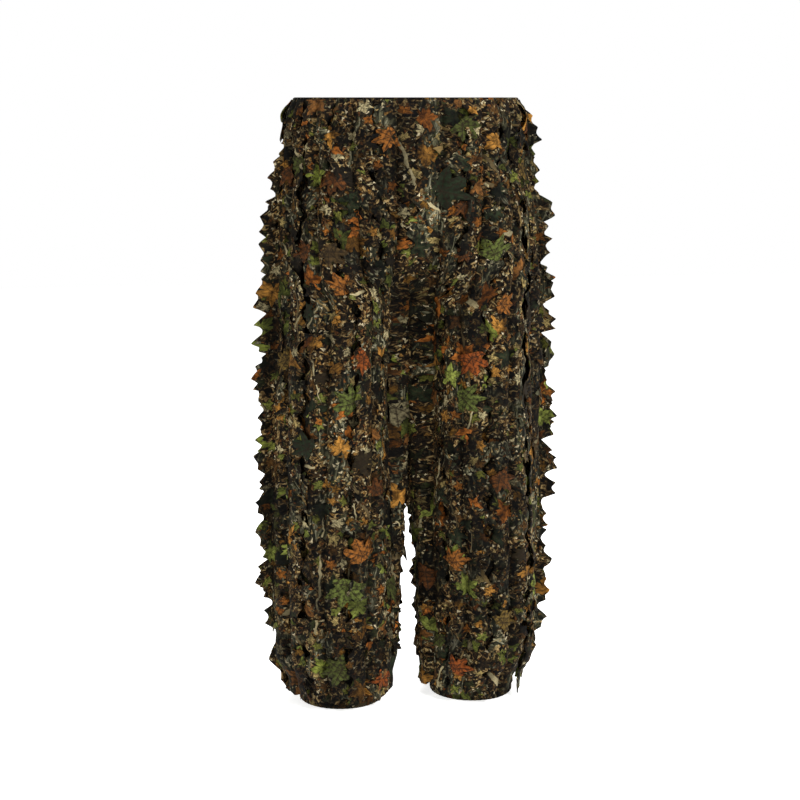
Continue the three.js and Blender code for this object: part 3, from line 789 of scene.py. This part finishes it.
# One side of a strip, from its seam (side -1 faces the outseam, side 1 the middle) to its leaf-cut edge
def stripSide(quarter, index, side, down, seed):
    x, y, face = quarters[quarter]
    perPanel = stripCut["perPanel"]
    arc = arcAt(quarter, np.clip(down, 0.0, gatherDown))[:, None]
    half = arc / (2 * perPanel)
    reach = leafEdge(down, seed)[:, None]
    down = down[:, None]
    s = sideShares[None, :]
    outseam, inner = index == 0 and side < 0, index == perPanel - 1 and side > 0
    if outseam:
        tuck = stripCut["sideTuck"]
        grown = 0.05 + 0.95 * smoothStep(0.0, stripCut["growLeft" if x > 0 else "growRight"], down)
        drawnIn = 1 - stripCut["drawnShare"] * smoothStep(*stripCut["drawnIn"], down)
        free = (freeReach("side", reach) + tuck) * grown * drawnIn - tuck
        start = half - tuck
    elif inner:
        free = freeReach("inner", reach)
        start = half - stripCut["innerTuck"]
    else:
        free = freeReach("face", reach)
        start = half + stripCut["overlap"]
    along = s * (half + free)
    held = np.minimum(along, start)
    spare = along - held
    # Leaf tips droop a little, so the outline leans down towards each tip
    tipShare = np.clip((along - half * 0.6) / 0.05, 0, 1)
    rowDown = down + stripCut["droop"] * tipShare * reach
    endNotch = leafEdge(along * 1.1 + 0.2, seed + 400) * stripCut["endLeaf"] - stripCut["endNotch"]
    bottom = stripCut["bottom"]
    rowDown = rowDown + endNotch * smoothStep(bottom - stripCut["endOver"], bottom, down)
    backed = backedAt(rowDown)
    across = (2 * index + 1) / (2 * perPanel) + side * held / arc
    base, out = surfaceAt(quarter, backed, across)
    place = np.stack([along * side, rowDown, 0 * rowDown], -1)
    flutter = noiseOver(place, stripCut["flutter"], seed * 1.37 + 0.5)
    edgeLift = stripCut["topEdgeLift"] if index % 2 == 0 else stripCut["underEdgeLift"]
    edgeLift = edgeLift * s ** 4 * (0.45 + 0.4 * reach + 0.9 * np.clip(flutter, -0.4, 0.6))
    lift = (stripCut["clearance"] + stripLift(s) + edgeLift) * smoothStep(-0.004, 0.03, down)
    lift = lift + 0.0006 + stripCut["ankleLift"] * smoothStep(*stripCut["cuffDown"], rowDown)
    fold = foldsAt(base, backed)
    if outseam or inner:
        fold = fold * (1 - s ** 2)
    if inner and face == "front":
        cover = (1 - smoothStep(*stripCut["flyCover"], rowDown)) * s ** 1.5
        lift = lift + stripCut["flyLift"] * cover + (stripCut["crossover"] * s if x > 0 else 0)
    points = base + out * (lift + fold)[..., None]
    lean = np.zeros(3)
    if outseam:
        lean = np.array(stripCut["sideLean"]) * (x, y, 1)
    elif inner:
        low = smoothStep(rise - 0.05, rise + 0.06, rowDown)[..., None]
        lean = np.array((-x, 0.0, 0.0)) * (1 - low) + np.array(stripCut["crotchLean"]) * (-x, y, 1) * low
    wave = noiseOver(np.stack([along, rowDown, 0 * rowDown], -1), stripCut["wave"], seed + 9.1)
    points = points + spare[..., None] * lean
    points[..., 1] += spare * wave * y * stripCut["waveDepth"]
    points[..., 2] -= rowDown - backed
    shift = seed // 2
    uvs = np.stack([side * along + 0.53 * (shift % 17), -rowDown + 0.37 * (shift % 5)], -1)
    return points, uvs


def buildStrip(quarter, index, number):
    x, y, _ = quarters[quarter]
    rows = int(round((stripCut["bottom"] - stripCut["top"]) / stripCut["rowStep"]))
    down = np.linspace(stripCut["top"], stripCut["bottom"], rows)
    outer, outerUv = stripSide(quarter, index, -1, down, 2 * number)
    inner, innerUv = stripSide(quarter, index, 1, down, 2 * number + 1)
    innerUv += outerUv[0, 0] - innerUv[0, 0]
    points = np.concatenate([outer[:, :0:-1], inner], 1)
    uvs = np.concatenate([outerUv[:, :0:-1], innerUv], 1)
    strip = gridPiece(f"leafStrip_{quarter}_{index + 1}", points, uvs, leafCloth, flip=x * y > 0)
    thicken(strip, stripCut["thickness"])
    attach(strip, "trousers")
    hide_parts(f"leaf_strip_{quarter}_{index + 1}")
    return strip


strips = {}
for quarter in quarters:
    for index in range(stripCut["perPanel"]):
        strips[quarter, index] = buildStrip(quarter, index, 4 * len(strips) + 3)
print("leaf strips ready")

# Cut leaves sewn on the strips by their stems: most carry the strips' print, the bold ones their own tint
leafCut = {
    "bold": 22, "printed": 120, "small": 0.032, "large": 0.07, "lift": 0.0012, "tipLift": 0.208, "cup": 0.16,
    "thickness": 0.0004, "tries": 6000, "apart": 0.33, "sway": 0.8, "panelWidth": 0.33,
    "down": (0.035, 0.95), "across": (0.05, 0.94), "tints": (2, 2, 3, 4, 6, 7, 8, 8, 9, 9),
}
leafOutline = (
    (90, 1.0), (78, 0.74), (70, 0.72), (60, 0.5), (52, 0.76), (41, 0.94), (31, 0.74), (21, 0.66), (8, 0.44),
    (-4, 0.66), (-20, 0.68), (-38, 0.44), (-60, 0.36), (-84, 0.18),
)


def acrossFor(quarter, down, x):
    face = quarters[quarter][2]
    centre, width, _ = sectionAt(face, down)
    angle = math.acos(max(-1.0, min(1.0, (abs(x) - float(centre)) / float(width))))
    return angle / float(endAngle(face, down))


def leafRings(size, chance):
    right = [(math.radians(a), r) for a, r in leafOutline]
    left = [(math.pi - a, r) for a, r in reversed(right[1:])]
    outline = [(a, r * chance.uniform(0.82, 1.12)) for a, r in left + right]
    rows = []
    for share in (0.0, 0.5, 1.0):
        for a, r in outline:
            reach = r * share if share == 1.0 else share * (0.5 + 0.25 * r)
            rows.append((math.cos(a) * reach * size, math.sin(a) * reach * size, share))
    return np.array(rows), len(outline)


def placeLeaf(quarter, down, across, size, turn, chance):
    flat, count = leafRings(size / 2, chance)
    u, v, share = flat.T
    arc = float(arcAt(quarter, np.array([down]))[0])
    c, s = math.cos(turn), math.sin(turn)
    hereDown = np.clip(down - (u * s + v * c), 0.004, 0.99)
    hereAcross = across + (u * c - v * s) / arc
    backed = backedAt(hereDown)
    base, out = surfaceAt(quarter, backed, hereAcross)
    stripShare = np.abs((hereAcross * stripCut["perPanel"]) % 1 - 0.5) * 2
    over = stripCut["clearance"] + stripCut["thickness"] + stripLift(stripShare)
    over = over + 0.35 * stripCut["topEdgeLift"] * stripShare ** 4
    hinge = np.clip(v / size + 0.35, 0, 1) ** 1.3
    tipLift = chance.uniform(0.4, 1.0) * leafCut["tipLift"] * hinge * size
    cup = leafCut["cup"] * np.abs(u) * chance.uniform(-0.6, 1.2) * share
    points = base + out * (over + foldsAt(base, backed) + leafCut["lift"] + tipLift + cup)[:, None]
    points[:, 2] -= hereDown - backed
    return points, np.stack([u, v], -1), count


# The leaves that stand out most: how far below the rim and from the middle, size, turn and tint
boldLeaves = {
    "front_right": (
        (0.743, -0.1, 0.072, 0.4, 1), (0.061, -0.046, 0.052, 1.9, 1), (0.965, -0.062, 0.064, 2.6, 0),
        (0.794, -0.122, 0.08, 2.9, 5), (0.487, -0.114, 0.07, 0.9, 5), (0.564, -0.176, 0.064, 1.2, 6),
        (0.415, -0.096, 0.056, 2.2, 0), (0.3, -0.125, 0.06, 0.2, 1), (0.245, -0.178, 0.05, 1.1, 2),
        (0.94, -0.13, 0.074, 1.8, 4), (0.64, -0.07, 0.058, 0.2, 2), (0.125, -0.13, 0.06, 2.9, 2)),
    "front_left": (
        (0.419, 0.086, 0.068, 2.9, 0), (0.768, 0.066, 0.066, 0.5, 1), (0.116, 0.182, 0.052, 2.0, 3),
        (0.487, 0.075, 0.072, 1.5, 5), (0.249, 0.116, 0.068, 0.3, 5), (0.044, 0.066, 0.056, 2.4, 4),
        (0.147, 0.034, 0.084, 1.0, 6), (0.33, 0.128, 0.056, 1.7, 1), (0.955, 0.075, 0.058, 0.6, 0),
        (0.62, 0.13, 0.06, 2.5, 2), (0.87, 0.14, 0.058, 0.9, 3)),
}


def leafSpots(quarter, seed):
    chance = random.Random(seed)
    spots = []
    for down, x, size, turn, tint in boldLeaves.get(quarter, ()):
        spots.append((down, acrossFor(quarter, down, x), size, turn, (tint + 0.5) / len(leafTints)))
    wide, apart = leafCut["panelWidth"], leafCut["apart"]
    tries, wanted = 0, leafCut["bold"] + leafCut["printed"]
    while len(spots) < wanted and tries < leafCut["tries"]:
        tries += 1
        down, across = chance.uniform(*leafCut["down"]), chance.uniform(*leafCut["across"])
        size = chance.uniform(leafCut["small"], leafCut["large"])
        if all(math.hypot(down - other[0], (across - other[1]) * wide) > apart * (size + other[2])
               for other in spots):
            tint = (chance.choice(leafCut["tints"]) + 0.5) / len(leafTints)
            turn = math.pi + chance.gauss(0, leafCut["sway"])
            spots.append((down, across, size, turn, tint if len(spots) < leafCut["bold"] else None))
    return spots


# A leaf without a tint carries the strips' print, from a chance place in it
def buildCutLeaves(quarter, seed, spots):
    chance = random.Random(seed)
    x, y, _ = quarters[quarter]
    vertices, faces, uvs, tints, finishes = [], [], [], [], []
    for down, across, size, turn, tint in spots:
        points, local, count = placeLeaf(quarter, down, across, size, turn, chance)
        first = len(vertices)
        printed = tint is None
        if printed:
            local = local + np.array((chance.uniform(0, 6), chance.uniform(0, 6)))
        vertices.extend(points)
        uvs.extend(local)
        tints.extend([0.0 if printed else tint] * len(points))
        for ring in range(2):
            for i in range(count):
                a, b = first + ring * count + i, first + ring * count + (i + 1) % count
                quad = (a, b + count, a + count) if ring == 0 else (a, b, b + count, a + count)
                faces.append(quad[::-1] if x * y > 0 else quad)
                finishes.append(0 if printed else 1)
    piece = meshFrom(f"cutLeaves_{quarter}", vertices, faces, uvs, leafCloth)
    piece.data.materials.append(cutLeaf)
    piece.data.polygons.foreach_set("material_index", finishes)
    attribute = piece.data.attributes.new("tint", "FLOAT", "POINT")
    attribute.data.foreach_set("value", np.array(tints, np.float32))
    weldDoubles(piece, 0.00001)
    thicken(piece, leafCut["thickness"], 0.0)
    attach(piece, "trousers")
    return piece


for i, quarter in enumerate(quarters):
    buildCutLeaves(quarter, 5 + i, leafSpots(quarter, 31 + i))
print("cut leaves ready")

# Cloth hoops: the waistband and the cuffs are folded over an elastic and gathered by it
hoopCut = {
    "waist": {"centre": 0.0, "width": 0.188, "front": 0.106, "back": 0.114, "rim": 0.0, "open": -0.038,
              "pleats": 104, "depth": 0.0016, "flat": (1.16, 0.082), "columns": 832},
    "cuff": {"centre": 0.115, "width": 0.071, "front": 0.072, "back": 0.074, "rim": -1.02, "open": -0.9935,
             "pleats": 46, "depth": 0.0022, "flat": (0.56, 0.06), "columns": 414},
    "clothThickness": 0.0007, "channelDepth": 0.006, "foldPoints": 5, "wallPoints": 7, "printShare": 0.9,
    "elasticInset": 0.0026, "elasticThickness": 0.0018, "elasticMargin": 0.0035, "elasticMouth": 0.002,
    "elasticRows": 12, "elasticPleat": 0.0003, "elasticMiddle": 0.003, "elasticShare": 0.94,
}


# Up one wall of the channel, round the fold at the rim and down the other: inset and height of each point
def channelPath(cut):
    inward = math.copysign(1, cut["open"] - cut["rim"])
    radius, wallPoints = hoopCut["channelDepth"] / 2, hoopCut["wallPoints"]
    path = [(0.0, z) for z in np.linspace(cut["open"], cut["rim"] + inward * radius, wallPoints)]
    for i in range(1, hoopCut["foldPoints"] + 1):
        turn = math.pi * i / (hoopCut["foldPoints"] + 1)
        path.append((radius * (1 - math.cos(turn)), cut["rim"] + inward * radius * (1 - math.sin(turn))))
    path += [(2 * radius, z) for z in np.linspace(cut["rim"] + inward * radius, cut["open"], wallPoints)]
    return np.array(path)


def closeSeam(points, uvs):
    step = uvs[:, 1:2] - uvs[:, 0:1]
    return np.concatenate([points, points[:, :1]], 1), np.concatenate([uvs, uvs[:, -1:] + step], 1)


def hoopPoints(cut, path, side, pleatShare):
    angle = np.linspace(0, 2 * math.pi, cut["columns"], endpoint=False)[None, :]
    inset = path[:, 0][:, None]
    wander = 0.35 * np.sin(5 * angle + 1.3) + 0.25 * np.sin(11 * angle)
    ruffle = 0.5 + 0.5 * np.cos(cut["pleats"] * angle + wander * 3)
    inset = inset + cut["depth"] * pleatShare[:, None] * ruffle
    depth = np.where(np.sin(angle) < 0, cut["front"], cut["back"])
    x = side * (cut["centre"] + (cut["width"] - inset) * np.cos(angle))
    y = (depth - inset) * np.sin(angle)
    z = path[:, 1][:, None] + 0 * angle
    along = np.concatenate([[0], np.cumsum(np.linalg.norm(np.diff(path, axis=0), axis=1))])[:, None]
    uvs = np.stack([angle * cut["width"] * hoopCut["printShare"] + side + 0 * along, along + 0 * angle], -1)
    return closeSeam(np.stack([x, y, z], -1), uvs)


def buildHoop(name, node, cut, side):
    path = channelPath(cut)
    middle = len(path) // 2
    share = 0.35 + 0.65 * np.abs(2 * np.linspace(0, 1, len(path)) - 1) ** 0.7
    share[middle - 2:middle + 3] *= 0.6
    points, uvs = hoopPoints(cut, path, side, share)
    rising = cut["open"] < cut["rim"]
    piece = gridPiece(name, points, uvs, shadedBaseCloth, flip=(side > 0) == rising)
    weldDoubles(piece)
    thicken(piece, hoopCut["clothThickness"], -1.0)
    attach(piece, "trousers")
    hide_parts(node)
    return piece


def buildElastic(name, node, cut, side):
    rim, opening = cut["rim"], cut["open"]
    inward = math.copysign(1, opening - rim)
    count = hoopCut["elasticRows"]
    first, last = rim + inward * hoopCut["elasticMargin"], opening - inward * hoopCut["elasticMouth"]
    path = np.stack([np.full(count, hoopCut["elasticInset"]), np.linspace(first, last, count)], -1)
    flatCut = dict(cut, pleats=cut["pleats"] // 2, depth=hoopCut["elasticPleat"], columns=cut["columns"] // 2)
    points, uvs = hoopPoints(flatCut, path, side, np.ones(count))
    piece = gridPiece(name, points, uvs, elasticWeave, flip=(side > 0) == (opening < rim))
    weldDoubles(piece)
    thicken(piece, hoopCut["elasticThickness"], -1.0)
    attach(piece, "trousers")
    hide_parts(node)
    return piece


def buildHoops():
    waist, cuff = hoopCut["waist"], hoopCut["cuff"]
    casing = buildHoop("waistbandCasing", "waistband_casing", waist, 1)
    elastic = buildElastic("waistElastic", "waist_elastic", waist, 1)
    for leg, side in (("left", 1), ("right", -1)):
        casing = buildHoop(f"cuffCasing_{leg}", f"cuff_casing_{leg}", cuff, side)
        elastic = buildElastic(f"cuffElastic_{leg}", f"cuff_elastic_{leg}", cuff, side)


buildHoops()
print("waistband and cuffs ready")

# Fly zip and its shield, inside the front opening
flyCut = {
    "tapeRows": 74, "tapeColumns": 12, "bendStart": 0.0055, "bendEnd": 0.0125, "clothInset": 0.0024,
    "toothPitch": 0.0015, "toothRadius": 0.00052, "toothLean": 0.12, "tapeThickness": 0.0007,
    "shieldColumns": 22, "shieldThickness": 0.001, "shieldBendStart": 0.0145, "shieldBendEnd": 0.019,
    "shieldSewnAt": 0.012, "shieldWave": 0.0008, "waveTurns": 75, "metalBevel": 0.0003, "pullBevel": 0.00028,
    "weld": 0.000005, "flatAngle": 1, "smoothAngle": 35,
}
labelCut = {"rows": 24, "columns": 14, "thickness": 0.0004, "wave": 0.0012, "waveTurns": 60}


def innerFaceY(down, x):
    _, width, depth = sectionAt("front", down)
    inset = flyCut["clothInset"]
    return -(depth - inset) * np.sqrt(1 - (x / (width - inset)) ** 2) + 0.0006


# Flat behind the opening and bent onto the cloth's inner face where it is sewn
def flyPoints(xs, top, bottom, plainY, bendStart, bendEnd):
    down = np.linspace(top, bottom, flyCut["tapeRows"])[:, None]
    x, down = np.broadcast_arrays(np.array(xs)[None, :], down)
    share = smoothStep(bendStart, bendEnd, np.abs(x))
    y = plainY * (1 - share) + np.minimum(innerFaceY(down, x), plainY) * share
    return np.stack([x, y, -down], -1), np.stack([x, -down], -1)


def buildTape(leg, side):
    low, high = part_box(f"zip_tape_{leg}")
    near, far = sorted((abs(low.x), abs(high.x)))
    xs = side * np.linspace(near, far, flyCut["tapeColumns"])
    plainY = high.y - flyCut["tapeThickness"] / 2 - 0.0001
    points, uvs = flyPoints(xs, -high.z, -low.z, plainY, flyCut["bendStart"], flyCut["bendEnd"])
    tape = gridPiece(f"zipTape_{leg}", points, uvs, zipTape, flip=side < 0)
    thicken(tape, flyCut["tapeThickness"], 0.0)
    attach(tape, "trousers")
    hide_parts(f"zip_tape_{leg}")


def buildShield():
    low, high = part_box("fly_shield")
    xs = np.linspace(low.x, high.x, flyCut["shieldColumns"])
    plainY = high.y - flyCut["shieldThickness"] / 2
    sewnAt, bendStart = flyCut["shieldSewnAt"], flyCut["shieldBendStart"]
    points, uvs = flyPoints(xs, -high.z, -low.z, plainY, bendStart, flyCut["shieldBendEnd"])
    sewnSide = smoothStep(sewnAt, bendStart, xs)[None, :]
    free = np.minimum(points[..., 1], plainY) * sewnSide + plainY * (1 - sewnSide)
    wave = np.sin(uvs[..., 1] * flyCut["waveTurns"]) * smoothStep(0.0, 0.02, high.x - sewnAt - uvs[..., 0])
    points[..., 1] = np.minimum(free + flyCut["shieldWave"] * wave, high.y + 0.001)
    shield = gridPiece("flyShield", points, uvs, shadedBaseCloth)
    thicken(shield, flyCut["shieldThickness"], 0.0)
    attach(shield, "trousers")
    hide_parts("fly_shield")


def buildCoil(leg, side):
    low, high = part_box(f"zip_coil_{leg}")
    radius, pitch = flyCut["toothRadius"], flyCut["toothPitch"]
    middle = ((low.x + high.x) / 2, (low.y + high.y) / 2, high.z - pitch / 2)
    size = ((high.x - low.x) / 2 / radius, (high.y - low.y) / 2 / radius, 1.0)
    bpy.ops.object.select_all(action="DESELECT")
    bpy.ops.mesh.primitive_uv_sphere_add(segments=8, ring_count=6, radius=radius, location=middle)
    coil = bpy.context.object
    coil.name = f"zipCoil_{leg}"
    bpy.ops.object.mode_set(mode="EDIT")
    bpy.ops.transform.resize(value=size, center_override=middle)
    bpy.ops.transform.rotate(value=side * flyCut["toothLean"], orient_axis="Y", center_override=middle)
    bpy.ops.object.mode_set(mode="OBJECT")
    bpy.ops.object.transform_apply(location=True, rotation=True, scale=True)
    applyModifier(coil, "teeth", "ARRAY", {
        "use_relative_offset": False, "use_constant_offset": True, "constant_offset_displace": (0, 0, -pitch),
        "count": int((high.z - low.z) / pitch)})
    bpy.ops.object.shade_smooth()
    coil.data.materials.append(zipCoil)
    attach(coil, "trousers")
    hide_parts(f"zip_coil_{leg}")


# Small metal pieces keep their made shape, with rounded edges
def buildMetal(node, name, bevel, body):
    piece = frame["nodes"][node].copy()
    piece.data = piece.data.copy()
    piece.name = name
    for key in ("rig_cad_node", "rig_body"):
        if key in piece:
            del piece[key]
    piece.parent = None
    scene.collection.objects.link(piece)
    piece.data.materials.clear()
    piece.data.materials.append(zipMetal)
    selectOnly(piece)
    bpy.ops.object.mode_set(mode="EDIT")
    bpy.ops.mesh.select_all(action="SELECT")
    bpy.ops.mesh.remove_doubles(threshold=flyCut["weld"])
    bpy.ops.mesh.dissolve_limited(angle_limit=math.radians(flyCut["flatAngle"]))
    bpy.ops.object.mode_set(mode="OBJECT")
    applyModifier(piece, "roundedEdges", "BEVEL", {
        "width": bevel, "segments": 3, "limit_method": "ANGLE", "use_clamp_overlap": True})
    bpy.ops.object.shade_smooth_by_angle(angle=math.radians(flyCut["smoothAngle"]))
    piece.select_set(False)
    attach(piece, body)
    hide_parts(node)


def buildLabel():
    low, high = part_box("care_label")
    rows = np.linspace(high.z, low.z, labelCut["rows"])[:, None]
    xs = np.linspace(low.x, high.x, labelCut["columns"])[None, :]
    x, z = np.broadcast_arrays(xs, rows)
    wave = (1 - np.cos((z - high.z) * labelCut["waveTurns"])) * smoothStep(0.01, 0.03, high.z - z)
    y = (low.y + high.y) / 2 - labelCut["wave"] * wave
    label = gridPiece("careLabel", np.stack([x, y, z], -1), np.stack([x, z], -1), satinLabel, flip=True)
    thicken(label, labelCut["thickness"], 0.0)
    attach(label, "trousers")
    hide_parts("care_label")


for leg, side in (("left", 1), ("right", -1)):
    buildTape(leg, side)
    buildCoil(leg, side)
    buildMetal(f"zip_top_stop_{leg}", f"zipTopStop_{leg}", flyCut["metalBevel"], "trousers")
buildShield()
buildMetal("zip_bottom_stop", "zipBottomStop", flyCut["metalBevel"], "trousers")
buildMetal("zip_slider", "zipSlider", flyCut["metalBevel"], "zip_slider_body")
buildMetal("zip_pull", "zipPull", flyCut["pullBevel"], "zip_pull_body")
buildLabel()
print("fly zip and label ready")
